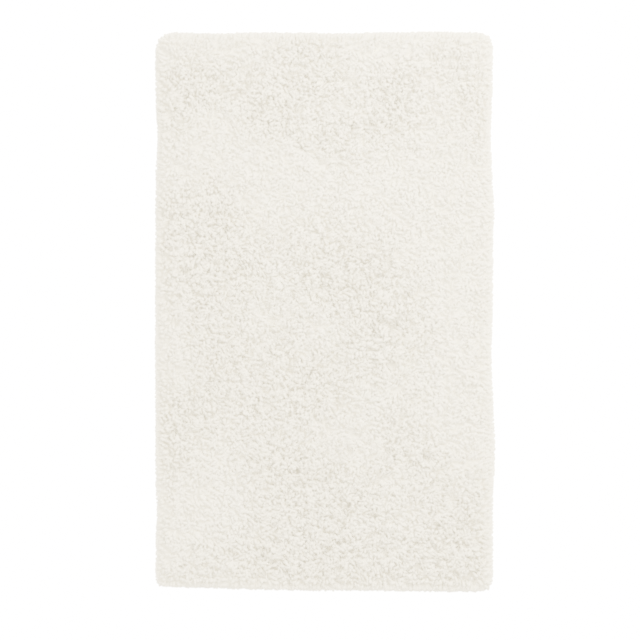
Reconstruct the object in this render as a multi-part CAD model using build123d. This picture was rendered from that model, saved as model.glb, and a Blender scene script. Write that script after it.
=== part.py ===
from build123d import *
import math
import os

# A shaggy tufted cotton bath mat lying flat with its pile up. Millimetres.
# +Z is up and +Y runs along the mat. The origin is the middle of the underside, on the floor.

# Overall size, over the tips of the spread pile
mat_width = 612.0
mat_length = 1012.0
mat_corner_radius = 20.0
mat_height = 24.0

# Base cloth, the woven canvas that the rows are tufted through
cloth_width = 596.0
cloth_length = 996.0
cloth_corner_radius = 14.0
cloth_thickness = 0.8

# Layers under the cloth, from the floor up
tape_thickness = 0.6
coat_thickness = 1.2
stitch_thickness = 1.0

# Pile rows, which run across the width
row_count = 156
rows_per_band = 12
row_gauge = 6.35
row_gap = 0.3
root_width = 3.0
root_inset = 4.0
shoulder_height = 19.0
crest_width = 3.4
crest_setback = 5.0
back_stitch_width = 2.4

# Overlock thread round the cloth's raw edge
overlock_thickness = 0.35
overlock_reach = 2.4

# Hem tapes and the two seams that hold them
tape_width = 24.0
thread_width = 0.5
thread_depth = 0.27
groove_width = 0.6
groove_depth = 0.3
outer_seam_inset = 3.2
inner_seam_inset = 21.0
seam_corner_radius = 3.0

# Care label, caught in the inner seam halfway along the near tape
label_width = 30.0
label_length = 45.0
label_tuck = 8.0
label_thickness = 0.25
label_clearance = 0.3

cloth_bottom = coat_thickness + stitch_thickness
cloth_top = cloth_bottom + cloth_thickness


def slab(width, length, radius, bottom, top):
    """A flat plate with rounded corners, centred on the mat."""
    outline = RectangleRounded(width, length, radius)
    return Pos(0, 0, bottom) * extrude(outline, amount=top - bottom)


def cloth_slab(inset, bottom, top):
    """A plate that follows the cloth's edge at a distance inside it."""
    radius = max(cloth_corner_radius - inset, seam_corner_radius)
    return slab(cloth_width - 2 * inset, cloth_length - 2 * inset, radius, bottom, top)


def ring(inset, width, bottom, top):
    """A closed band, its middle line at a distance inside the cloth's edge."""
    outer = cloth_slab(inset - width / 2, bottom, top)
    inner = cloth_slab(inset + width / 2, bottom, top)
    return outer - inner


def block(x_range, y_range, z_range):
    """An upright box between two values on each axis."""
    spans = [high - low for low, high in (x_range, y_range, z_range)]
    middles = [(high + low) / 2 for low, high in (x_range, y_range, z_range)]
    return Pos(*middles) * Box(*spans)


def half_width_at(y, width, length, radius):
    """Half the width of a rounded rectangle at a distance y from its middle."""
    into_corner = abs(y) - (length / 2 - radius)
    if into_corner <= 0:
        return width / 2
    return width / 2 - radius + math.sqrt(max(radius**2 - into_corner**2, 0.0))


def row_offset(index):
    """How many rows a row stands from the middle of the mat."""
    return index - (row_count - 1) / 2


def root_half_length(index):
    """Half the length of a row where it leaves the cloth."""
    outer_edge = abs(row_offset(index)) * row_gauge + root_width / 2
    root_radius = cloth_corner_radius - root_inset
    return half_width_at(
        outer_edge, cloth_width - 2 * root_inset, cloth_length - 2 * root_inset, root_radius
    )


def row_section(half_length, y, width, z):
    """One level of a row: a long thin rectangle."""
    return Pos(0, y, z) * Rectangle(2 * half_length, width)


def pile_row(index):
    """One tufted row: narrow at the cloth, spread at the shoulder, rounded off at the crest."""
    spread_gauge = (mat_length + row_gap) / row_count
    spread_y = row_offset(index) * spread_gauge
    shoulder_width = spread_gauge - row_gap
    spread_half_length = half_width_at(
        abs(spread_y) + shoulder_width / 2, mat_width, mat_length, mat_corner_radius
    )
    sections = [
        row_section(root_half_length(index), row_offset(index) * row_gauge, root_width, cloth_top),
        row_section(spread_half_length, spread_y, shoulder_width, shoulder_height),
        row_section(spread_half_length - crest_setback, spread_y, crest_width, mat_height),
    ]
    return loft(sections, ruled=True)


def back_stitch(index):
    """The run of yarn that lies under the cloth along one row."""
    half_length = root_half_length(index)
    y = row_offset(index) * row_gauge
    return block(
        (-half_length, half_length),
        (y - back_stitch_width / 2, y + back_stitch_width / 2),
        (coat_thickness, cloth_bottom),
    )


def base_cloth():
    """The canvas, with a shallow furrow where each needle thread is drawn into it."""
    cloth = cloth_slab(0, cloth_bottom, cloth_top)
    for inset in (outer_seam_inset, inner_seam_inset):
        cloth -= ring(inset, groove_width, cloth_top - groove_depth, cloth_top)
    return cloth


def label_space(clearance, tuck, bottom, top):
    """The care label's space, with the length that is tucked under the near tape."""
    tape_edge_y = -cloth_length / 2 + tape_width
    half_width = label_width / 2 + clearance
    return block(
        (-half_width, half_width),
        (tape_edge_y - tuck, tape_edge_y + label_length + clearance),
        (bottom, top),
    )


def care_label():
    """A blank satin label lying flat against the coat, its end tucked under the near tape."""
    return label_space(0, label_tuck, tape_thickness, tape_thickness + label_thickness)


def latex_coat():
    """The sprayed coat: it holds the back stitches and is thinner where the tapes lie."""
    coat = cloth_slab(overlock_reach + label_clearance, 0, cloth_bottom)
    tape_bed = cloth_slab(-1, 0, tape_thickness) - block(
        (-cloth_width / 2 + tape_width, cloth_width / 2 - tape_width),
        (-cloth_length / 2 + tape_width, cloth_length / 2 - tape_width),
        (0, tape_thickness),
    )
    label_top = tape_thickness + label_thickness
    label_window = label_space(label_clearance, 0, 0, label_top)
    label_pocket = label_space(label_clearance, label_tuck, tape_thickness, label_top)
    stitches = [back_stitch(index) for index in range(row_count)]
    return coat - [tape_bed, label_window, label_pocket, *stitches]


def edge_overlock_thread():
    """Overlock stitching as one band that wraps the cloth's raw edge, above and below."""
    bottom = cloth_bottom - overlock_thickness
    top = cloth_top + overlock_thickness
    band = cloth_slab(-overlock_thickness, bottom, top) - cloth_slab(overlock_reach, bottom, top)
    return band - cloth_slab(0, cloth_bottom, cloth_top)


def hem_tape(side):
    """One twill tape on the back, mitred at both ends."""
    half_x = cloth_width / 2
    half_y = cloth_length / 2
    inner_x = half_x - tape_width
    inner_y = half_y - tape_width
    outlines = {
        "left": [(-half_x, -half_y), (-inner_x, -inner_y), (-inner_x, inner_y), (-half_x, half_y)],
        "right": [(half_x, -half_y), (half_x, half_y), (inner_x, inner_y), (inner_x, -inner_y)],
        "near": [(-half_x, -half_y), (half_x, -half_y), (inner_x, -inner_y), (-inner_x, -inner_y)],
        "far": [(-half_x, half_y), (-inner_x, inner_y), (inner_x, inner_y), (half_x, half_y)],
    }
    strip = extrude(Polygon(*outlines[side], align=None), amount=tape_thickness)
    tape = strip & cloth_slab(0, 0, tape_thickness)
    for inset in (outer_seam_inset, inner_seam_inset):
        tape -= ring(inset, groove_width, 0, groove_depth)
    return tape


def needle_thread(inset):
    """The seam's upper thread, drawn down flush with the cloth."""
    bottom = cloth_top - groove_depth
    return ring(inset, thread_width, bottom, bottom + thread_depth)


def bobbin_thread(inset):
    """The seam's lower thread, drawn up into the tapes."""
    return ring(inset, thread_width, groove_depth - thread_depth, groove_depth)


def save(name, shape):
    """Write one node and say how many solids it holds."""
    export_step(shape, f"parts/{name}.step")
    print(f"{name}: {len(shape.solids())} solids, {shape.volume / 1000:.1f} cm3")


os.makedirs("parts", exist_ok=True)

for band in range(row_count // rows_per_band):
    first_row = band * rows_per_band
    rows = [pile_row(index) for index in range(first_row, first_row + rows_per_band)]
    save(f"pile_rows_{band + 1:02d}", Compound(children=rows))

save("back_stitches", Compound(children=[back_stitch(index) for index in range(row_count)]))
save("base_cloth", base_cloth())
save("latex_coat", latex_coat())
save("edge_overlock_thread", edge_overlock_thread())
for side in ("left", "right", "near", "far"):
    save(f"hem_tape_{side}", hem_tape(side))
save("outer_needle_thread", needle_thread(outer_seam_inset))
save("outer_bobbin_thread", bobbin_thread(outer_seam_inset))
save("inner_needle_thread", needle_thread(inner_seam_inset))
save("inner_bobbin_thread", bobbin_thread(inner_seam_inset))
save("care_label", care_label())
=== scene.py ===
import math
import random

import bmesh
import bpy
import numpy as np
from mathutils import Matrix, Vector, noise


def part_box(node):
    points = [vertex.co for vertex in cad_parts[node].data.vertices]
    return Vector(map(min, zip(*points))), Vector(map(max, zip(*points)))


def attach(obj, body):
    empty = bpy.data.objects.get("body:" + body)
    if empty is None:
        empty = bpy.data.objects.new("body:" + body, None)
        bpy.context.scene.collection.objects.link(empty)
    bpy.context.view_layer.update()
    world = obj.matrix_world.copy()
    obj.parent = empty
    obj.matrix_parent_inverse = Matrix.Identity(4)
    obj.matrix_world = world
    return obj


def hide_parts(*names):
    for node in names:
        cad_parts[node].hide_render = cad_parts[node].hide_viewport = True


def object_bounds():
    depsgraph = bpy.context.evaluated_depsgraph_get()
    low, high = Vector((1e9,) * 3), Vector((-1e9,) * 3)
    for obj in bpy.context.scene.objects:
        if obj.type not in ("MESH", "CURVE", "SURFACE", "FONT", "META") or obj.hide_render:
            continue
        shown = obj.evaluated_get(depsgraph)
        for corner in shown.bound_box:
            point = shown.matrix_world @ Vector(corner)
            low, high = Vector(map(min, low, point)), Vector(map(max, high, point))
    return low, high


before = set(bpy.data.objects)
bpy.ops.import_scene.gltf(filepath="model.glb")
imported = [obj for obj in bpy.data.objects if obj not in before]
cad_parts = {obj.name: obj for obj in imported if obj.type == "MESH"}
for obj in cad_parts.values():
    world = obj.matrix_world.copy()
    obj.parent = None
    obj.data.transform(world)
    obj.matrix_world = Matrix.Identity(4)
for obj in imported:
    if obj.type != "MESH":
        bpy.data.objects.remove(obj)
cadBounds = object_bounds()
clothLow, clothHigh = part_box("base_cloth")
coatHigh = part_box("latex_coat")[1]
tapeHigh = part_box("hem_tape_left")[1]
random.seed(24)


# camera and light

view = {
    "lens": 95,
    "across": 1.158,           # width of floor that the picture takes in
    "look": (-0.0077, -0.0154),
    "farthest": 50,
    "exposure": 2.95,
    "bounces": 24,             # the white pile lights its own depths
    "softness": 2.0,
}


def setCamera():
    data = bpy.data.cameras.new("camera")
    data.lens = view["lens"]
    camera = bpy.data.objects.new("camera", data)
    bpy.context.scene.collection.objects.link(camera)
    height = view["across"] * view["lens"] / data.sensor_width
    camera.location = (view["look"][0], view["look"][1], cadBounds[1].z + height)
    data.clip_end = view["farthest"]
    scene = bpy.context.scene
    scene.camera = camera
    scene.view_settings.view_transform = "AgX"
    scene.view_settings.exposure = view["exposure"]
    scene.cycles.diffuse_bounces = view["bounces"]
    scene.cycles.max_bounces = view["bounces"]
    scene.cycles.filter_width = view["softness"]
    print("camera set")


light = {
    "sky": 0.60,
    "colour": (1, 0.905, 0.692),
    "softboxes": [
        # name, place, size, watts
        ("keySoftbox", (1.3, 1.45, 1.9), 1.6, 44),
        ("fillSoftbox", (-2.2, -0.9, 2.4), 2.4, 12),
    ],
}


def setLight():
    world = bpy.data.worlds.new("studio")
    world.use_nodes = True
    world.node_tree.nodes["Background"].inputs["Color"].default_value = (*light["colour"], 1)
    world.node_tree.nodes["Background"].inputs["Strength"].default_value = light["sky"]
    bpy.context.scene.world = world
    for name, spot, size, watts in light["softboxes"]:
        data = bpy.data.lights.new(name, "AREA")
        data.size = size
        data.energy = watts
        data.color = light["colour"]
        box = bpy.data.objects.new(name, data)
        bpy.context.scene.collection.objects.link(box)
        box.location = spot
        box.rotation_euler = Vector(spot).to_track_quat("Z", "Y").to_euler()
    print("light set")


# helpers for shaders, meshes and noise

class Val:
    # wraps a socket so that shader maths reads as plain expressions
    def __init__(self, tree, socket):
        self.tree = tree
        self.socket = socket

    def math(self, operation, *others):
        node = self.tree.nodes.new("ShaderNodeMath")
        node.operation = operation
        for slot, value in zip(node.inputs, (self, *others)):
            connect(self.tree, slot, value)
        return Val(self.tree, node.outputs[0])

    def __add__(self, other):
        return self.math("ADD", other)

    def __radd__(self, other):
        return self.math("ADD", other)

    def __sub__(self, other):
        return self.math("SUBTRACT", other)

    def __rsub__(self, other):
        return (self * -1).math("ADD", other)

    def __mul__(self, other):
        return self.math("MULTIPLY", other)

    def __rmul__(self, other):
        return self.math("MULTIPLY", other)


def connect(tree, slot, value):
    if isinstance(value, Val):
        tree.links.new(value.socket, slot)
    else:
        slot.default_value = value


class Shader:
    # one material: add() makes any node, its settings first and then its sockets, by name or as _number
    def __init__(self, name):
        self.material = bpy.data.materials.new(name)
        self.material.use_nodes = True
        self.tree = self.material.node_tree
        self.surface = self.tree.nodes["Principled BSDF"]

    def add(self, kind, settings=None, out=0, **sockets):
        node = self.tree.nodes.new(kind)
        for key, value in (settings or {}).items():
            setattr(node, key, value)
        for key, value in sockets.items():
            slot = node.inputs[int(key[1:])] if key[1:].isdigit() else node.inputs[key]
            connect(self.tree, slot, value)
        return Val(self.tree, node.outputs[out])

    def set(self, **sockets):
        for key, value in sockets.items():
            connect(self.tree, self.surface.inputs[key.replace("_", " ")], value)


def tinted(shader, low, high, amount):
    return shader.add("ShaderNodeMix", {"data_type": "RGBA"}, out=2, _0=amount, _6=(*low, 1), _7=(*high, 1))


def speckle(shader, coords, scale, detail, roughness=0.5):
    return shader.add("ShaderNodeTexNoise", Vector=coords, Scale=scale, Detail=detail, Roughness=roughness)


def raised(shader, height, relief):
    strength, depth = relief
    return shader.add("ShaderNodeBump", Strength=strength, Distance=depth, Height=height)


def newPiece(name, bm, material, sharpOver=40):
    mesh = bpy.data.meshes.new(name)
    bm.to_mesh(mesh)
    bm.free()
    piece = finishPiece(name, mesh, material)
    mesh.set_sharp_from_angle(angle=math.radians(sharpOver))
    return piece


def finishPiece(name, mesh, material):
    mesh.materials.clear()
    mesh.materials.append(material)
    mesh.polygons.foreach_set("use_smooth", [True] * len(mesh.polygons))
    piece = bpy.data.objects.new(name, mesh)
    bpy.context.scene.collection.objects.link(piece)
    return piece


def standFor(piece, node):
    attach(piece, "root")
    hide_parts(node)
    return piece


def pullUp(bm):
    # gives a flat grid a second layer and hands back the vertices of that layer
    made = bmesh.ops.extrude_face_region(bm, geom=bm.faces[:], use_keep_orig=True)
    return {item for item in made["geom"] if isinstance(item, bmesh.types.BMVert)}


def roundCorner(vert, halfX, halfY, radius):
    # draws the square corner of a grid into a quarter circle
    pastX = abs(vert.co.x) - (halfX - radius)
    pastY = abs(vert.co.y) - (halfY - radius)
    if pastX > 0 and pastY > 0:
        fit = max(pastX, pastY) / math.hypot(pastX, pastY)
        vert.co.x = math.copysign(halfX - radius + pastX * fit, vert.co.x)
        vert.co.y = math.copysign(halfY - radius + pastY * fit, vert.co.y)


def noiseAt(x, y, layer, scale, strength=1):
    return noise.noise(Vector((x, y, layer)) * scale) * strength


def smoothStep(value):
    value = min(max(value, 0.0), 1.0)
    return value * value * (3 - 2 * value)


# the tufted pile: where its rows and its outline lie on the cloth

pile = {
    "rows": 156,
    "rowsPerBand": 12,
    "stitch": 0.0062,          # from tuft to tuft along a row
    "stagger": 0.25,           # share of a stitch that rows are shifted by, to and fro
    "edgeStitch": 0.0036,      # from tuft to tuft along the outline
    "rowMargin": 0.0027,       # bare cloth before the first row
    "endMargin": 0.0040,       # bare cloth at the ends of the rows
    "edgeRoom": 0.0015,        # left free inside the outline for the outline's own tufts
    "stray": (0.0010, 0.0012),     # how far a tuft strays along its row and across it
    "corners": {(-1, 1): 0.020, (1, 1): 0.015, (1, -1): 0.011, (-1, -1): 0.005},
}
bandCount = pile["rows"] // pile["rowsPerBand"]
pileHalfX = clothHigh.x - pile["endMargin"]
pileHalfY = clothHigh.y - pile["rowMargin"]
rowGauge = 2 * pileHalfY / pile["rows"]

# one tuft is a cut yarn with two legs
yarn = {
    "length": 0.0240,
    "radius": 0.0027,
    "legSpacing": 0.0034,
    "legLengths": (0.96, 1.02),
    "sides": 5,
    # place along the yarn, and width there
    "rings": [(0.0, 0.70), (0.40, 0.95), (0.72, 1.06), (0.94, 1.00), (1.0, 0.66)],
    "ringTurn": 0.35,
    "shapes": 12,
    "wobble": 0.0032,
    "splay": 0.0034,
    "splayOut": (0.4, 1.5),
}

# how the yarns lie; noise is given here and below as layer, scale and strength
lay = {
    "flow": (0.3, 4.0, 3.0),
    "eddies": (7.7, 30.0, 4.5),
    "tilt": (0.80, 0.35),      # of a tangled yarn in radians, and what brushing adds
    "combed": 0.7,             # share of the tangle that brushing takes out
    "clumpScale": 50.0,
    "clumpPull": (1.2, 0.3, 0.7),      # strength, share that stays where combed, share that goes
    "chance": (0.10, 0.34),    # scatter of the lean, and what tangling adds
    "alongRow": (1.32, 0.72),  # yarns fall over more readily along their row than across it
    "lengths": (0.88, 1.08),
    "legTurn": 0.5,            # scatter of how the two legs stand to their row
    "curl": (1.35, 0.85),      # sideways swirl of a tangled yarn, and what brushing takes away
    "lowest": 0.0012,
    "crown": 0.0205,           # above this height the yarn ends press down on each other
    "press": 0.40,
    "tone": (0.30, 0.40, 0.4, 0.2),    # base, brushing (brushed pile is painted lighter, a painted sheen), clouds, chance
    "toneClouds": (11, 16),
}

# yarns near the outline turn over it and hide the hem
rim = {
    "reach": 0.019,            # how far in from the outline that begins
    "holdPower": 1.4,
    "outPower": 1.6,
    "settle": 0.93,
    "outward": 2.5,
    "length": 0.64,
    "gather": 0.65,            # how far the two legs are drawn together
}

# brushed smooth or left tangled
brushing = {
    "middle": 0.5,
    "swing": 0.9,
    "layer": 3.1,
    "scale": 7.0,
    "patchStrength": 0.8,
    # hand-brushed patches: x, y, size, and how much smoother (or more tangled) they are
    "patches": [
        (-0.20, 0.31, 0.060, 0.9), (-0.04, 0.24, 0.050, 0.7), (0.20, 0.29, 0.060, 0.7),
        (0.17, 0.10, 0.060, 0.8), (0.00, -0.04, 0.050, 0.7), (0.27, 0.20, 0.070, 0.7),
        (0.27, 0.00, 0.080, 0.8), (0.28, -0.20, 0.070, 0.7), (0.10, 0.49, 0.060, 0.7),
        (-0.25, 0.41, 0.050, -0.9), (0.00, 0.40, 0.050, -0.7), (0.12, 0.42, 0.040, -0.6),
        (-0.09, 0.36, 0.050, -0.9), (0.01, 0.31, 0.035, -0.9), (0.21, 0.37, 0.055, 0.9),
        (-0.27, -0.12, 0.050, 0.4), (-0.19, 0.19, 0.045, -0.6), (-0.14, -0.17, 0.045, -0.7),
        (-0.02, -0.16, 0.045, -0.6), (-0.04, -0.30, 0.060, -0.9), (0.03, -0.37, 0.060, -0.9),
        (0.24, -0.40, 0.060, -0.9), (0.25, -0.47, 0.050, -0.8), (-0.24, -0.47, 0.050, -0.7),
        (-0.02, -0.47, 0.060, -0.7),
    ],
}

# small gaps where the tufts part and the dark between them shows: the gap is deep, and the body in it is
# painted darker as shade
parting = {
    # x, y, size
    "gaps": [
        (-0.040, 0.300, 0.0036), (-0.046, 0.309, 0.0028), (0.162, 0.292, 0.0030),
        (0.048, 0.335, 0.0030), (-0.035, 0.064, 0.0030), (0.176, -0.108, 0.0032),
        (0.178, -0.262, 0.0032), (-0.050, -0.288, 0.0034), (0.045, -0.352, 0.0030),
        (0.092, -0.372, 0.0030), (-0.046, -0.458, 0.0040), (0.208, -0.388, 0.0030),
    ],
    # nearness from which yarns lean away, the body drops, and it darkens
    "leanFrom": 0.30,
    "dropFrom": 0.7,
    # from this nearness the body in a gap is painted darker, as shade
    "paintedShadeFrom": 0.75,
    "tilt": 1.1,
    "leanGain": 1.4,
    "bottom": 0.001,
}

# the outline wanders a little, as cloth that was cut and laid by hand does
sway = {
    "reach": 0.060,            # how far in from the outline this is felt
    "most": 1.2,
    # where it bulges (or draws in): axis, side, place along it, how long, by how much
    "bulges": [
        (0, -1, 0.316, 0.045, -0.0026), (0, -1, -0.363, 0.035, -0.0020),
        (0, -1, -0.05, 0.150, 0.0006), (0, 1, 0.320, 0.060, -0.0027),
        (0, 1, 0.180, 0.030, 0.0020), (0, 1, -0.080, 0.050, -0.0020),
        (0, 1, -0.250, 0.060, 0.0030), (1, 1, -0.200, 0.040, -0.0012),
        (1, 1, 0.020, 0.040, -0.0013), (1, 1, 0.180, 0.060, 0.0009),
        (1, -1, -0.300, 0.160, -0.0046), (1, -1, 0.300, 0.170, 0.0016),
    ],
}

# the body under the yarn ends
bed = {
    "top": (0.0095, 0.0158),   # where tangled and where smooth
    "over": 0.0062,            # how far it bulges past the outline
    "step": 0.0050,
    "shoulder": 0.022,         # how far in from the outline it begins to round down
    "fullness": 2.2,
    "foot": 0.0030,
    "lumps": (2.2, 130, 0.0018),
    "bandGap": 0.0003,
    "edge": 0.0002,            # vertices this near the outline belong to it
}


def growLeg(bm, start, tip, seed):
    # one yarn end: a small disc drawn up ring by ring; says of each vertex where on the yarn it is
    drift = random.Random(seed)
    made = bmesh.ops.create_circle(bm, cap_ends=True, segments=yarn["sides"], radius=yarn["radius"])
    face = made["verts"][0].link_faces[0]
    bmesh.ops.translate(bm, verts=face.verts, vec=start)
    bmesh.ops.reverse_faces(bm, faces=[face])
    centre = Vector(start)
    width = 1.0
    spots = {}
    for ring, (height, swell) in enumerate(yarn["rings"]):
        target = Vector(start).lerp(Vector(tip), height)
        if 0 < height < 1:
            target += Vector((drift.uniform(-1, 1), drift.uniform(-1, 1), 0)) * yarn["wobble"] * height
        if ring > 0:
            made = bmesh.ops.extrude_face_region(bm, geom=[face], use_keep_orig=True)
            if ring > 1:
                bmesh.ops.delete(bm, geom=[face], context="FACES_ONLY")
            face = [item for item in made["geom"] if isinstance(item, bmesh.types.BMFace)][0]
        bmesh.ops.translate(bm, verts=face.verts, vec=target - centre)
        turn = Matrix.Rotation(yarn["ringTurn"] if ring > 0 else 0, 4, "Z")
        scale = Matrix.Diagonal((swell / width, swell / width, 1, 1))
        move = Matrix.Translation(target) @ turn @ scale @ Matrix.Translation(-target)
        bmesh.ops.transform(bm, verts=face.verts, matrix=move)
        for vert in face.verts:
            angle = math.atan2(vert.co.y - target.y, vert.co.x - target.x) - ring * yarn["ringTurn"]
            # a little is added so that rounding can't take the first corner once around
            around = (angle / (2 * math.pi) + 0.01) % 1.0
            spots[vert] = (around, height, target.copy())
        centre = target
        width = swell
    return spots


def yarnShape(index):
    # two legs side by side, opening towards their tips
    bm = bmesh.new()
    place = bm.verts.layers.float_vector.new("place")
    spine = bm.verts.layers.float_vector.new("spine")
    wrap = bm.loops.layers.uv.new("yarn")
    drift = random.Random(100 + index)
    half = yarn["legSpacing"] / 2
    spots = {}
    for side in (-1, 1):
        length = yarn["length"] * drift.uniform(*yarn["legLengths"])
        out = yarn["splay"] * drift.uniform(*yarn["splayOut"]) * side
        across = yarn["splay"] * drift.uniform(-1.0, 1.0)
        tip = (side * half + out, across, length)
        spots.update(growLeg(bm, (side * half, 0, 0), tip, index * 2 + side))
    for vert in bm.verts:
        vert[place] = vert.co
        vert[spine] = spots[vert][2]
    for face in bm.faces:
        around = [spots[loop.vert][0] for loop in face.loops]
        for loop, turn in zip(face.loops, around):
            # the side face that closes the ring runs on past 1
            over = 1.0 if max(around) - turn > 0.5 and len(around) == 4 else 0.0
            loop[wrap].uv = (turn + over, spots[loop.vert][1])
    bm.normal_update()
    mesh = bpy.data.meshes.new(f"yarn_shape_{index:02d}")
    bm.to_mesh(mesh)
    bm.free()
    return bpy.data.objects.new(mesh.name, mesh)


def brushedAt(x, y):
    # 0 where the pile is tangled, 1 where it has been brushed smooth
    amount = brushing["middle"] + brushing["swing"] * noiseAt(x, y, brushing["layer"], brushing["scale"])
    for patchX, patchY, size, change in brushing["patches"]:
        away = (x - patchX) ** 2 + (y - patchY) ** 2
        amount += brushing["patchStrength"] * change * math.exp(-away / size ** 2)
    return smoothStep(amount)


def partingAt(x, y):
    # the way out of the nearest gap, and how near its middle this is (1 and more is inside it)
    away = Vector((0, 0))
    nearness = 0
    for gapX, gapY, size in parting["gaps"]:
        offset = Vector((x - gapX, y - gapY))
        if size / max(offset.length, 1e-5) > nearness:
            nearness = size / max(offset.length, 1e-5)
            away = offset.normalized()
    return away, nearness


def leanAt(x, y):
    # which way a tuft lies and how far, as the tilt of its tip in radians
    flow = noiseAt(x, y, *lay["flow"]) + noiseAt(x, y, *lay["eddies"])
    smooth = brushedAt(x, y)
    tangle = 1.0 - lay["combed"] * smooth
    tilt = lay["tilt"][0] + lay["tilt"][1] * smooth
    lean = Vector((math.cos(flow), math.sin(flow))) * tilt
    points = noise.voronoi(Vector((x, y, 0)) * lay["clumpScale"])[1]
    toClump = Vector((points[0].x, points[0].y)) / lay["clumpScale"] - Vector((x, y))
    pull, kept, loose = lay["clumpPull"]
    lean += toClump / yarn["length"] * pull * (kept + loose * tangle)
    chance = lay["chance"][0] + lay["chance"][1] * tangle
    lean += Vector((random.gauss(0, 1), random.gauss(0, 1))) * chance
    lean = Vector((lean.x * lay["alongRow"][0], lean.y * lay["alongRow"][1]))
    away, nearness = partingAt(x, y)
    if nearness > parting["leanFrom"]:
        lean = lean.lerp(away * parting["tilt"], min(1.0, nearness * parting["leanGain"]))

    overX = max(0.0, (abs(x) - (pileHalfX - rim["reach"])) / rim["reach"])
    overY = max(0.0, (abs(y) - (pileHalfY - rim["reach"])) / rim["reach"])
    hold = max(overX, overY) ** rim["holdPower"]
    outX = math.copysign(overX ** rim["outPower"], x)
    outY = math.copysign(overY ** rim["outPower"], y)
    outward = Vector((outX, outY))
    if outward.length > 1:
        outward.normalize()
    lean = lean * (1 - rim["settle"] * hold) + outward * rim["outward"]
    return lean, smooth, hold


def walkOutline(halfX, halfY, corners, spacing):
    # evenly spaced spots once round a rounded outline, each with its outward angle
    signs = [(1, -1), (1, 1), (-1, 1), (-1, -1)]
    for index, (sideX, sideY) in enumerate(signs):
        radius = corners[(sideX, sideY)]
        middle = Vector((sideX * (halfX - radius), sideY * (halfY - radius)))
        steps = max(2, round(radius * math.pi / 2 / spacing))
        for step in range(steps):
            angle = (index - 1 + step / steps) * math.pi / 2
            yield middle + Vector((math.cos(angle), math.sin(angle))) * radius, angle
        angle = index * math.pi / 2
        outward = Vector((math.cos(angle), math.sin(angle)))
        nextX, nextY = signs[(index + 1) % 4]
        nextRadius = corners[(nextX, nextY)]
        begin = middle + outward * radius
        end = Vector((nextX * (halfX - nextRadius), nextY * (halfY - nextRadius))) + outward * nextRadius
        steps = round((end - begin).length / spacing)
        for step in range(steps):
            yield begin.lerp(end, step / steps), angle


def cornerRadius(x, y):
    return pile["corners"][(1 if x > 0 else -1, 1 if y > 0 else -1)]


def insideOutline(x, y, halfX, halfY):
    radius = cornerRadius(x, y)
    pastX = abs(x) - (halfX - radius)
    pastY = abs(y) - (halfY - radius)
    if pastX > 0 and pastY > 0:
        return math.hypot(pastX, pastY) < radius
    return pastX < radius and pastY < radius


def tuftPoints(band):
    # one point for each tuft of a band of rows, with what its yarn needs to know
    bm = bmesh.new()
    layers = bm.verts.layers
    root = layers.float_vector.new("root")
    lean = layers.float_vector.new("lean")
    turn = layers.float.new("turn")
    curl = layers.float.new("curl")
    tidy = layers.float.new("tidy")
    shape = layers.int.new("shape")
    tone = layers.float.new("tone")

    def plant(x, y):
        vert = bm.verts.new((x, y, clothHigh.z))
        tilt, smooth, hold = leanAt(x, y)
        held = min(1, hold)
        vert[root] = vert.co
        length = random.uniform(*lay["lengths"])
        vert[lean] = (tilt.x, tilt.y, length + (rim["length"] - length) * held)
        vert[tidy] = 1 - rim["gather"] * held
        vert[turn] = random.gauss(0, lay["legTurn"]) + random.choice((0, math.pi))
        vert[curl] = random.gauss(0, 1) * (lay["curl"][0] - lay["curl"][1] * smooth) * (1 - held)
        vert[shape] = random.randrange(yarn["shapes"])
        base, brushedSheen, clouds, chance = lay["tone"]
        cloud = clouds * noiseAt(x, y, *lay["toneClouds"])
        # brushed pile is painted lighter, a painted sheen of yarns that lie flat; clouds and chance are the
        # cotton's own tone
        vert[tone] = base + brushedSheen * smooth + cloud + random.uniform(-chance, chance)

    bandLow = (band * pile["rowsPerBand"] - pile["rows"] / 2) * rowGauge
    bandHigh = bandLow + pile["rowsPerBand"] * rowGauge
    count = int(2 * pileHalfX / pile["stitch"])
    room = pile["edgeRoom"]
    for row in range(band * pile["rowsPerBand"], (band + 1) * pile["rowsPerBand"]):
        y = (row - (pile["rows"] - 1) / 2) * rowGauge
        shift = pile["stagger"] if row % 2 else -pile["stagger"]
        for index in range(count):
            x = (index - (count - 1) / 2 + shift) * pile["stitch"]
            x += random.uniform(-1, 1) * pile["stray"][0]
            strayY = random.uniform(-1, 1) * pile["stray"][1]
            inside = insideOutline(x, y, pileHalfX - room, pileHalfY - room)
            if inside and partingAt(x, y)[1] < 1:
                plant(x, y + strayY)
    first = band == 0
    last = band == bandCount - 1
    for spot, _ in walkOutline(pileHalfX, pileHalfY, pile["corners"], pile["edgeStitch"]):
        if (spot.y >= bandLow or first) and (spot.y < bandHigh or last):
            plant(spot.x, spot.y)
    mesh = bpy.data.meshes.new(f"tuft_points_{band:02d}")
    bm.to_mesh(mesh)
    bm.free()
    return bpy.data.objects.new(mesh.name, mesh)


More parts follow.
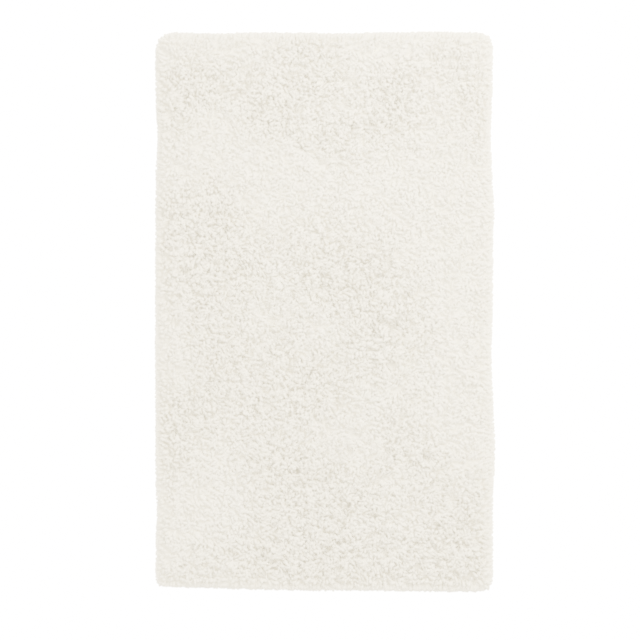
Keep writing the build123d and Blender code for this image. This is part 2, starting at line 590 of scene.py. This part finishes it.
def growTool(name, shapes):
    # geometry nodes: one of the shapes on every point, turned by its aim and made real
    tree = bpy.data.node_groups.new(name, "GeometryNodeTree")
    tree.interface.new_socket("Geometry", in_out="INPUT", socket_type="NodeSocketGeometry")
    tree.interface.new_socket("Geometry", in_out="OUTPUT", socket_type="NodeSocketGeometry")
    nodes, links = tree.nodes, tree.links
    start = nodes.new("NodeGroupInput")
    end = nodes.new("NodeGroupOutput")
    pick = nodes.new("GeometryNodeCollectionInfo")
    pick.inputs["Collection"].default_value = shapes
    pick.inputs["Separate Children"].default_value = True
    pick.inputs["Reset Children"].default_value = True
    grow = nodes.new("GeometryNodeInstanceOnPoints")
    grow.inputs["Pick Instance"].default_value = True
    real = nodes.new("GeometryNodeRealizeInstances")
    shape = nodes.new("GeometryNodeInputNamedAttribute")
    shape.data_type = "INT"
    shape.inputs["Name"].default_value = "shape"
    aim = nodes.new("GeometryNodeInputNamedAttribute")
    aim.data_type = "FLOAT_VECTOR"
    aim.inputs["Name"].default_value = "aim"
    links.new(aim.outputs[0], grow.inputs["Rotation"])
    links.new(start.outputs[0], grow.inputs["Points"])
    links.new(pick.outputs[0], grow.inputs["Instance"])
    links.new(shape.outputs[0], grow.inputs["Instance Index"])
    links.new(grow.outputs[0], real.inputs[0])
    links.new(real.outputs[0], end.inputs[0])
    return tree


def growOn(points, tool):
    bpy.context.scene.collection.objects.link(points)
    points.modifiers.new("grow", "NODES").node_group = tool
    deps = bpy.context.evaluated_depsgraph_get()
    made = points.evaluated_get(deps)
    mesh = bpy.data.meshes.new_from_object(made, preserve_all_data_layers=True, depsgraph=deps)
    bpy.data.objects.remove(points)
    return mesh


def readAttribute(mesh, name, size):
    data = np.zeros(len(mesh.vertices) * size)
    layer = mesh.attributes[name].data
    layer.foreach_get("value" if size == 1 else "vector", data)
    return data.reshape(-1, size) if size > 1 else data


def swayOutline(places):
    # works on an array of places, in place
    half = (clothHigh.x, clothHigh.y)
    for axis, side, where, size, amount in sway["bulges"]:
        near = (places[:, axis] * side - half[axis] + sway["reach"]) / sway["reach"]
        near = np.clip(near, 0, sway["most"])
        swell = np.exp(-((places[:, 1 - axis] - where) / size) ** 2)
        places[:, axis] += side * amount * near * near * swell


def layYarns(mesh):
    # bends every yarn from its root towards its lean, as an even arc
    place = readAttribute(mesh, "place", 3)
    tidy = readAttribute(mesh, "tidy", 1)
    root = readAttribute(mesh, "root", 3)
    lean = readAttribute(mesh, "lean", 3)
    turn = readAttribute(mesh, "turn", 1)
    local = np.empty_like(place)
    spread = place - readAttribute(mesh, "spine", 3) * (1 - tidy[:, None])
    local[:, 0] = spread[:, 0] * np.cos(turn) - spread[:, 1] * np.sin(turn)
    local[:, 1] = spread[:, 0] * np.sin(turn) + spread[:, 1] * np.cos(turn)
    local[:, 2] = place[:, 2] * lean[:, 2]
    tilt = np.maximum(np.hypot(lean[:, 0], lean[:, 1]), 1e-4)
    towards = lean[:, :2] / tilt[:, None]
    bend = tilt / (yarn["length"] * lean[:, 2])
    angle = bend * local[:, 2]
    along = (local[:, :2] * towards).sum(1)
    aside = local[:, :2] - along[:, None] * towards
    reach = (1 - np.cos(angle)) / bend + along * np.cos(angle)
    laid = np.empty_like(local)
    swirl = readAttribute(mesh, "curl", 1) * local[:, 2] / yarn["length"]
    heading = np.stack([
        towards[:, 0] * np.cos(swirl) - towards[:, 1] * np.sin(swirl),
        towards[:, 0] * np.sin(swirl) + towards[:, 1] * np.cos(swirl),
    ], axis=1)
    laid[:, :2] = root[:, :2] + aside + reach[:, None] * heading
    laid[:, 2] = root[:, 2] + np.sin(angle) / bend - along * np.sin(angle)
    laid[:, 2] = np.maximum(laid[:, 2], lay["lowest"])
    over = np.maximum(laid[:, 2] - lay["crown"], 0)
    laid[:, 2] -= over * (1 - lay["press"])
    swayOutline(laid)
    mesh.vertices.foreach_set("co", laid.ravel())
    mesh.update()


def bedHeight(x, y, halfX, halfY):
    # full inside, rounding down to the outline
    foot = clothHigh.z + bed["foot"]
    pastX = max(abs(x) - (halfX - bed["shoulder"]), 0)
    pastY = max(abs(y) - (halfY - bed["shoulder"]), 0)
    past = min(math.hypot(pastX, pastY) / bed["shoulder"], 1)
    fullness = math.sqrt(max(1 - past ** bed["fullness"], 0))
    low, high = bed["top"]
    top = low + (high - low) * brushedAt(x, y) + noiseAt(x, y, *bed["lumps"])
    if partingAt(x, y)[1] > parting["dropFrom"]:
        top = foot + parting["bottom"]
    return foot + (top - foot) * fullness


def pileBed(band):
    # closed body of one band, laid under its yarn ends
    bm = bmesh.new()
    tone = bm.verts.layers.float.new("tone")
    length = pile["rowsPerBand"] * rowGauge
    low = (band * pile["rowsPerBand"] - pile["rows"] / 2) * rowGauge
    columns = round(2 * pileHalfX / bed["step"])
    rows = round(length / bed["step"])
    spread = Matrix.Translation((0, low + length / 2, clothHigh.z))
    spread = spread @ Matrix.Diagonal((2 * pileHalfX, length - bed["bandGap"], 1, 1))
    bmesh.ops.create_grid(bm, x_segments=columns, y_segments=rows, size=0.5, matrix=spread)
    tops = pullUp(bm)
    wide = Vector(((pileHalfX + bed["over"]) / pileHalfX, (pileHalfY + bed["over"]) / pileHalfY))
    for vert in bm.verts:
        # painted shade: the body is marked -1 in the gaps, and the cotton shader darkens it there
        vert[tone] = -1 if partingAt(vert.co.x, vert.co.y)[1] > parting["paintedShadeFrom"] else 0
        radius = cornerRadius(vert.co.x, vert.co.y)
        over = 0
        if vert in tops:
            vert.co.x *= wide.x
            vert.co.y *= wide.y if abs(vert.co.y) > pileHalfY - bed["edge"] else 1
            over = bed["over"]
        roundCorner(vert, pileHalfX + over, pileHalfY + over, radius + over)
        if vert in tops:
            vert.co.z = bedHeight(vert.co.x, vert.co.y, pileHalfX + over, pileHalfY + over)
    bmesh.ops.recalc_face_normals(bm, faces=bm.faces[:])
    spots = np.array([vert.co for vert in bm.verts])
    swayOutline(spots)
    for vert, spot in zip(bm.verts, spots):
        vert.co = spot
    return bm


def makePile(material):
    shapes = bpy.data.collections.new("yarn_shapes")
    for index in range(yarn["shapes"]):
        shapes.objects.link(yarnShape(index))
    grow = growTool("grow_tufts", shapes)
    for band in range(bandCount):
        mesh = growOn(tuftPoints(band), grow)
        layYarns(mesh)
        bm = pileBed(band)
        bm.from_mesh(mesh)
        bm.to_mesh(mesh)
        bm.free()
        piece = finishPiece(f"pile_{band + 1:02d}", mesh, material)
        standFor(piece, f"pile_rows_{band + 1:02d}")
    print("pile done,", bandCount, "bands")


cotton = {
    "tangled": (0.945, 0.929, 0.822),
    # the brushed colour is lighter: a painted sheen of yarns that lie flat
    "brushedSheen": (0.970, 0.957, 0.876),
    "plies": 3,
    "turns": 8,                # that the plies make along a yarn
    "plyRound": 0.7,
    # painted shade in the grooves between the plies
    "paintedPlyShade": 0.10,
    "fibreShade": 0.05,
    # painted shade on the body in the gaps
    "paintedGapShade": 0.35,
    "relief": (0.75, 0.0010),
    "glow": (1, 0.94, 0.83, 1),    # painted glow: the pile gives off a little light of its own, which lifts its shade
}


def cottonPile():
    shader = Shader("cotton_pile")
    tone = shader.add("ShaderNodeAttribute", {"attribute_name": "tone"}, out=2)
    wrap = shader.add("ShaderNodeUVMap", {"uv_map": "yarn"})
    around = shader.add("ShaderNodeSeparateXYZ", Vector=wrap)
    along = shader.add("ShaderNodeSeparateXYZ", Vector=wrap, out=1)
    ply = ((around * cotton["plies"] + along * cotton["turns"]) * math.pi).math("SINE")
    ply = ply.math("ABSOLUTE").math("POWER", cotton["plyRound"])
    coords = shader.add("ShaderNodeTexCoord", out=3)
    fibre = speckle(shader, coords, 1900, 2, 0.6)
    # painted shade in the gaps, where the body is marked -1
    paintedGapDarkening = tone.math("MINIMUM", 0) * cotton["paintedGapShade"]
    # painted shade: darker in the grooves between the plies; the fibre speckle is the yarn's own tone
    shade = 1 + paintedGapDarkening - (1 - ply) * cotton["paintedPlyShade"] - (1 - fibre) * cotton["fibreShade"]
    # painted sheen: tone runs from the tangled colour to the lighter brushed one
    colour = tinted(shader, cotton["tangled"], cotton["brushedSheen"], tone)
    colour = shader.add("ShaderNodeVectorMath", {"operation": "SCALE"}, _0=colour, _3=shade)
    height = ply * 0.7 + fibre * 0.3
    # painted glow: a faint emission on the pile, though it is no lamp
    shader.set(Base_Color=colour, Roughness=0.84 + fibre * 0.12, Specular_IOR_Level=0.15,
               Sheen_Weight=0.25, Sheen_Roughness=0.5, Emission_Color=cotton["glow"],
               Emission_Strength=0.03, Normal=raised(shader, height, cotton["relief"]))
    shader.material.cycles.emission_sampling = "NONE"
    return shader.material


def plate(halfX, halfY, radius, columns, rows, cuts=()):
    # closed flat plate, from 0 to 1 in height, cut along more lines where a step is wanted
    bm = bmesh.new()
    size = Matrix.Diagonal((2 * halfX, 2 * halfY, 1, 1))
    bmesh.ops.create_grid(bm, x_segments=columns, y_segments=rows, size=0.5, matrix=size)
    for axis, value in cuts:
        point = Vector((value, 0, 0)) if axis == "x" else Vector((0, value, 0))
        every = bm.verts[:] + bm.edges[:] + bm.faces[:]
        bmesh.ops.bisect_plane(bm, geom=every, plane_co=point, plane_no=point.normalized())
    for vert in pullUp(bm):
        vert.co.z = 1
    for vert in bm.verts:
        roundCorner(vert, halfX, halfY, radius)
    bmesh.ops.recalc_face_normals(bm, faces=bm.faces[:])
    return bm


# woven base cloth, drawn up a little along every row

cloth = {
    "radius": 0.014,
    "columns": 24,
    "rowSteps": 2,
    "ripple": 0.00003,
    "flatFrom": 0.99,          # share of the half width past which it lies flat
    "foot": 0.04,              # underside and thickness, as shares of the cloth's height
    "thick": 0.92,
}


def makeCloth(material):
    halfX, halfY = clothHigh.x, clothHigh.y
    depth = clothHigh.z - clothLow.z
    bm = plate(halfX, halfY, cloth["radius"], cloth["columns"], pile["rows"] * cloth["rowSteps"])
    for vert in bm.verts:
        ripple = cloth["ripple"] * math.cos(vert.co.y / rowGauge * 2 * math.pi)
        edge = max(abs(vert.co.x) / halfX, abs(vert.co.y) / halfY) > cloth["flatFrom"]
        height = depth * (cloth["foot"] + vert.co.z * cloth["thick"])
        vert.co.z = clothLow.z + height + (0 if edge else ripple)
    piece = standFor(newPiece("woven_base", bm, material), "base_cloth")
    print("base cloth done")


# latex coat, sprayed over the back of the stitches

skin = 0.00002                 # kept clear between two pieces that lie on each other
tapeWidth = 0.024
labelSpace = {"halfX": 0.0153, "low": -0.4823, "high": -0.4287}
coat = {
    "radius": 0.0113,
    "columns": 12,
    "rowSteps": 4,
    "lowest": 0.00006,
    "hollow": 0.00048,         # depth between two ridges
    "hollowPower": 1.5,
    "drips": (5, 60, 0.00005),
    "tapeBed": 0.00062,
    "labelBed": 0.00088,
    "labelSlack": 0.0001,
    "step": 0.0004,            # width of the step down to the tapes
}


def coatUnderside(x, y):
    if abs(x) < labelSpace["halfX"] + coat["labelSlack"] and labelSpace["low"] < y < labelSpace["high"]:
        return coat["labelBed"]
    if abs(x) > clothHigh.x - tapeWidth or abs(y) > clothHigh.y - tapeWidth:
        return coat["tapeBed"]
    between = 0.5 + 0.5 * math.cos((y / rowGauge) * 2 * math.pi)
    ridge = coat["hollow"] * between ** coat["hollowPower"]
    return coat["lowest"] + ridge + noiseAt(x, y, *coat["drips"])


def makeCoat(material):
    innerX = clothHigh.x - tapeWidth
    innerY = clothHigh.y - tapeWidth
    step = coat["step"]
    cuts = []
    for value in (innerX, labelSpace["halfX"]):
        cuts += [("x", value), ("x", value + step), ("x", -value), ("x", -value - step)]
    cuts += [("y", innerY), ("y", innerY + step), ("y", -innerY), ("y", -innerY - step)]
    cuts += [("y", labelSpace["high"]), ("y", labelSpace["high"] + step)]
    rows = pile["rows"] * coat["rowSteps"]
    bm = plate(coatHigh.x, coatHigh.y, coat["radius"], coat["columns"], rows, cuts)
    for vert in bm.verts:
        top = vert.co.z > 0.5
        vert.co.z = coatHigh.z - skin if top else coatUnderside(vert.co.x, vert.co.y)
    standFor(newPiece("latex_backing", bm, material), "latex_coat")
    print("latex coat done")


# twill tapes over the raw edge of the coat, mitred at the corners

tape = {
    "across": [0, 0.095, 0.133, 0.171, 0.36, 0.64, 0.835, 0.875, 0.915, 1],
    "seams": (0.133, 0.875),   # each with a dip over it
    "stepLength": 0.0045,
    "pucker": 0.00007,
    "puckerLength": 0.0155,
    "puckerDrift": (1, 20, 5),
    "dip": 0.00024,
    "lowest": 0.00001,
    "inset": 0.0002,
}


def makeTape(side, material):
    alongY = side in ("left", "right")
    halfLong = clothHigh.y if alongY else clothHigh.x
    halfShort = clothHigh.x if alongY else clothHigh.y
    sign = -1 if side in ("left", "near") else 1
    steps = round(2 * halfLong / tape["stepLength"])
    lanes = len(tape["across"]) - 1
    bm = bmesh.new()
    bmesh.ops.create_grid(bm, x_segments=steps, y_segments=lanes, size=0.5)
    tops = pullUp(bm)
    for vert in bm.verts:
        across = tape["across"][round((vert.co.y + 0.5) * lanes)]
        long = vert.co.x * 2 * (halfLong - tapeWidth * across)
        short = sign * (halfShort - tapeWidth * across)
        phase = long / tape["puckerLength"] + noiseAt(long, across, *tape["puckerDrift"])
        pucker = tape["pucker"] * (0.5 + 0.5 * math.sin(phase))
        dip = tape["dip"] if across in tape["seams"] else 0
        vert.co = (short, long, 0) if alongY else (long, short, 0)
        roundCorner(vert, clothHigh.x - tape["inset"], clothHigh.y - tape["inset"], cloth["radius"])
        vert.co.z = tapeHigh.z - skin if vert in tops else tape["lowest"] + pucker + dip
    bmesh.ops.recalc_face_normals(bm, faces=bm.faces[:])
    piece = standFor(newPiece(f"twill_tape_{side}", bm, material), f"hem_tape_{side}")


def makeTapes(material):
    for side in ("left", "right", "near", "far"):
        makeTape(side, material)
    print("tapes done")


# sewing threads: a line of lockstitches is one short bent strand after another

seams = {
    "pitch": 0.0034,
    # inset from the edge of the cloth, and radius at the corners
    "lines": {"outer": (0.0032, 0.0108), "inner": (0.0210, 0.003)},
    "heights": {"needle": 0.002835, "bobbin": 0.000165},
    "strand": [(-0.00160, 0, -0.00026), (-0.00095, 0, 0.00001),
               (0.00095, 0, 0.00001), (0.00160, 0, -0.00026)],
    "radius": 0.000135,
    "flatten": 1.85,
}

overlock = {
    "pitch": 0.0032,
    "radius": 0.00016,
    # strands of one stitch: along the edge, outward from it, height over the cloth's middle
    "strands": [
        [(-0.0016, -0.0021, 0.00052), (-0.0006, -0.0009, 0.00056), (0, 0.00018, 0.00020),
         (0.0006, -0.0009, 0.00056), (0.0016, -0.0021, 0.00052)],
        [(-0.0016, -0.0021, -0.00052), (-0.0009, -0.0009, -0.00056), (0, 0.00018, -0.00012),
         (0.0009, -0.0009, -0.00056), (0.0016, -0.0021, -0.00052)],
        [(-0.0015, -0.0022, 0.00048), (0, -0.0022, 0.00060), (0.0015, -0.0022, 0.00048)],
    ],
}


def strandShape(name, strands, radius, flatten=1):
    # short curves with a round section, made into one small mesh
    data = bpy.data.curves.new(name, "CURVE")
    data.dimensions = "3D"
    data.bevel_depth = radius
    data.bevel_resolution = 0
    data.use_fill_caps = True
    for points in strands:
        spline = data.splines.new("POLY")
        spline.points.add(len(points) - 1)
        for point, spot in zip(spline.points, points):
            point.co = (*spot, 1)
    curve = bpy.data.objects.new(name, data)
    mesh = bpy.data.meshes.new_from_object(curve)
    bpy.data.objects.remove(curve)
    mesh.transform(Matrix.Diagonal((1, flatten, 1, 1)))
    return bpy.data.objects.new(name, mesh)


def makeThread(name, node, shape, inset, radius, pitch, height, over, material):
    # a ring of stitches that lie over the cloth, or else turned round below it
    shapes = bpy.data.collections.new(name + "_shapes")
    shapes.objects.link(shape)
    bm = bmesh.new()
    aim = bm.verts.layers.float_vector.new("aim")
    corners = dict.fromkeys(pile["corners"], radius)
    tilt = 0 if over else math.pi
    quarter = -math.pi / 2 if over else math.pi / 2
    for spot, angle in walkOutline(clothHigh.x - inset, clothHigh.y - inset, corners, pitch):
        vert = bm.verts.new((spot.x, spot.y, height))
        vert[aim] = (tilt, 0, angle + quarter)
    mesh = bpy.data.meshes.new(name)
    bm.to_mesh(mesh)
    bm.free()
    mesh = growOn(bpy.data.objects.new(name, mesh), growTool("sew_" + name, shapes))
    standFor(finishPiece(name, mesh, material), node)


def makeThreads(material):
    for seam, (inset, radius) in seams["lines"].items():
        for kind, height in seams["heights"].items():
            name = f"{seam}_{kind}"
            shape = strandShape(name + "_stitch", [seams["strand"]], seams["radius"], seams["flatten"])
            makeThread(name + "_line", name + "_thread", shape, inset, radius, seams["pitch"],
                       height, kind == "needle", material)
    shape = strandShape("overlock_stitch", overlock["strands"], overlock["radius"])
    middle = (clothHigh.z + clothLow.z) / 2
    makeThread("overlock_edge", "edge_overlock_thread", shape, 0, cloth["radius"], overlock["pitch"],
               middle, True, material)
    print("threads done")


# care label, blank, caught under the near tape

label = {
    "halfX": 0.015,
    "low": -0.482,
    "high": -0.429,
    "segments": (24, 40),
    "wave": 0.00005,
    "hem": 0.0006,             # width of the thicker edge
    "hemDepth": 0.00006,
    "topClear": 0.00004,
}


def makeLabel(material):
    bm = bmesh.new()
    length = label["high"] - label["low"]
    spread = Matrix.Translation((0, (label["high"] + label["low"]) / 2, 0))
    spread = spread @ Matrix.Diagonal((2 * label["halfX"], length, 1, 1))
    columns, rows = label["segments"]
    bmesh.ops.create_grid(bm, x_segments=columns, y_segments=rows, size=0.5, matrix=spread)
    tops = pullUp(bm)
    low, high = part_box("care_label")
    for vert in bm.verts:
        ripple = label["wave"] * math.sin(vert.co.x * 260 + 2) * math.sin(vert.co.y * 120)
        lift = label["hemDepth"] if abs(vert.co.x) < label["halfX"] - label["hem"] else 0
        vert.co.z = high.z - label["topClear"] if vert in tops else low.z + skin + lift + abs(ripple)
    bmesh.ops.recalc_face_normals(bm, faces=bm.faces[:])
    piece = standFor(newPiece("satin_label", bm, material), "care_label")
    print("label done")


# finishes of the back: two ends of the colour, lengths of what repeats, strength and depth of the relief

def objectPlace(shader):
    coords = shader.add("ShaderNodeTexCoord", out=3)
    axes = [shader.add("ShaderNodeSeparateXYZ", Vector=coords, out=axis) for axis in range(3)]
    return coords, axes


def swing(value, length):
    # from -1 to 1 and back over one length
    return (value * (2 * math.pi / length)).math("SINE")


def wave(value, length):
    # the same from 0 to 1
    return swing(value, length) * 0.5 + 0.5


canvas = {
    "low": (0.70, 0.64, 0.52),
    "high": (0.84, 0.79, 0.68),
    "thread": 0.0018,
    "relief": (0.6, 0.0003),
}


def canvasWeave():
    shader = Shader("canvas_weave")
    coords, (x, y, _) = objectPlace(shader)
    weave = swing(x, canvas["thread"]) * swing(y, canvas["thread"]) * 0.5 + 0.5
    slub = speckle(shader, coords, 220, 3)
    fibre = speckle(shader, coords, 2600, 2)
    height = weave * 0.6 + slub * 0.25 + fibre * 0.15
    shader.set(Base_Color=tinted(shader, canvas["low"], canvas["high"], height),
               Roughness=0.82 + slub * 0.12, Specular_IOR_Level=0.2, Sheen_Weight=0.15,
               Normal=raised(shader, height, canvas["relief"]))
    return shader.material


twill = {
    "low": (0.74, 0.70, 0.61),
    "high": (0.86, 0.83, 0.76),
    "rib": 0.00125,
    "weft": 0.00062,
    "relief": (0.6, 0.0003),
}


def twillWeave():
    shader = Shader("twill_weave")
    coords, (x, y, _) = objectPlace(shader)
    rib = wave(x + y, twill["rib"])
    weft = wave(x - y, twill["weft"])
    fibre = speckle(shader, coords, 2400, 2)
    wear = speckle(shader, coords, 34, 3)
    height = rib * 0.55 + rib * weft * 0.3 + fibre * 0.15
    shader.set(Base_Color=tinted(shader, twill["low"], twill["high"], height * 0.7 + wear * 0.3),
               Roughness=0.78 + fibre * 0.14, Specular_IOR_Level=0.25, Sheen_Weight=0.2,
               Normal=raised(shader, height, twill["relief"]))
    return shader.material


latex = {
    "low": (0.66, 0.59, 0.45),
    "high": (0.80, 0.75, 0.63),
    "zigzag": 0.0006,          # how far the stitches of one row stand off those of the next
    "relief": (0.7, 0.0005),
}


def latexFilm():
    # a lump over every back stitch, with fine bubbles and slow clouds
    shader = Shader("latex_film")
    coords, (x, y, _) = objectPlace(shader)
    stitch = wave(x + swing(y, rowGauge * 2) * latex["zigzag"], pile["stitch"])
    lumps = speckle(shader, coords, 420, 3, 0.55)
    pits = shader.add("ShaderNodeTexVoronoi", Vector=coords, Scale=900).math("SMOOTH_MIN", 0.35, 0.1)
    clouds = speckle(shader, coords, 16, 4)
    height = stitch * 0.35 + lumps * 0.4 + pits * 0.5
    amount = clouds * 0.7 + lumps * 0.5 - 0.1
    shader.set(Base_Color=tinted(shader, latex["low"], latex["high"], amount),
               Roughness=0.42 + lumps * 0.22, Specular_IOR_Level=0.45,
               Normal=raised(shader, height, latex["relief"]))
    return shader.material


thread = {
    "low": (0.78, 0.75, 0.68),
    "high": (0.90, 0.88, 0.83),
    "twist": 0.00042,
    "relief": (0.6, 0.00008),
}


def sewingThread():
    shader = Shader("twisted_thread")
    coords, (x, y, z) = objectPlace(shader)
    twist = wave(x + y + z * 2, thread["twist"])
    fuzz = speckle(shader, coords, 5000, 2)
    height = twist * 0.7 + fuzz * 0.3
    shader.set(Base_Color=tinted(shader, thread["low"], thread["high"], height),
               Roughness=0.52 + fuzz * 0.2, Specular_IOR_Level=0.4,
               Normal=raised(shader, height, thread["relief"]))
    return shader.material


satin = {
    "low": (0.84, 0.83, 0.81),
    "high": (0.92, 0.92, 0.90),
    "warp": 0.00030,
    "float": 0.0009,
    "relief": (0.35, 0.00006),
}


def labelSatin():
    shader = Shader("label_satin")
    coords, (x, y, _) = objectPlace(shader)
    warp = wave(x, satin["warp"])
    floats = wave(y + x * 0.2, satin["float"])
    soft = speckle(shader, coords, 120, 2)
    height = warp * 0.6 + floats * 0.4
    shader.set(Base_Color=tinted(shader, satin["low"], satin["high"], height * 0.5 + soft * 0.5),
               Roughness=0.30 + soft * 0.16, Specular_IOR_Level=0.5, Sheen_Weight=0.1,
               Normal=raised(shader, height, satin["relief"]))
    return shader.material


backing = {
    "low": (0.86, 0.82, 0.72),
    "high": (0.95, 0.92, 0.84),
    "ply": 0.0021,
    "relief": (0.5, 0.0004),
}


def backYarn():
    shader = Shader("back_yarn")
    coords, (x, y, _) = objectPlace(shader)
    ply = wave(x + y * 1.4, backing["ply"])
    fibre = speckle(shader, coords, 1900, 2)
    height = ply * 0.6 + fibre * 0.4
    shader.set(Base_Color=tinted(shader, backing["low"], backing["high"], height),
               Roughness=0.86 + fibre * 0.1, Specular_IOR_Level=0.15, Sheen_Weight=0.2,
               Normal=raised(shader, height, backing["relief"]))
    return shader.material


def dressBackStitches(material):
    # these keep the shape that they have in the frame
    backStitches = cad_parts["back_stitches"].data.materials
    for index in range(len(backStitches)):
        backStitches[index] = material
    print("back stitches done")


ground = {"half": 12, "colour": (0.93, 0.93, 0.93, 1), "glow": 1.8}


def makeFloor():
    bm = bmesh.new()
    bmesh.ops.create_grid(bm, x_segments=1, y_segments=1, size=ground["half"])
    paleFloor = Shader("pale_floor")
    paleFloor.set(Base_Color=ground["colour"], Roughness=0.9, Emission_Color=(1, 1, 1, 1),
                  Emission_Strength=ground["glow"])
    floor = newPiece("floor", bm, paleFloor.material)
    # the floor glows on its own only: the mat gets its light from above, so its edge keeps its shape
    glowOnly = bpy.data.collections.new("floor_glow")
    glowOnly.objects.link(floor)
    floor.light_linking.receiver_collection = glowOnly
    print("floor done")


setCamera()
setLight()
makePile(cottonPile())
makeCloth(canvasWeave())
makeCoat(latexFilm())
makeTapes(twillWeave())
makeThreads(sewingThread())
makeLabel(labelSatin())
dressBackStitches(backYarn())
makeFloor()
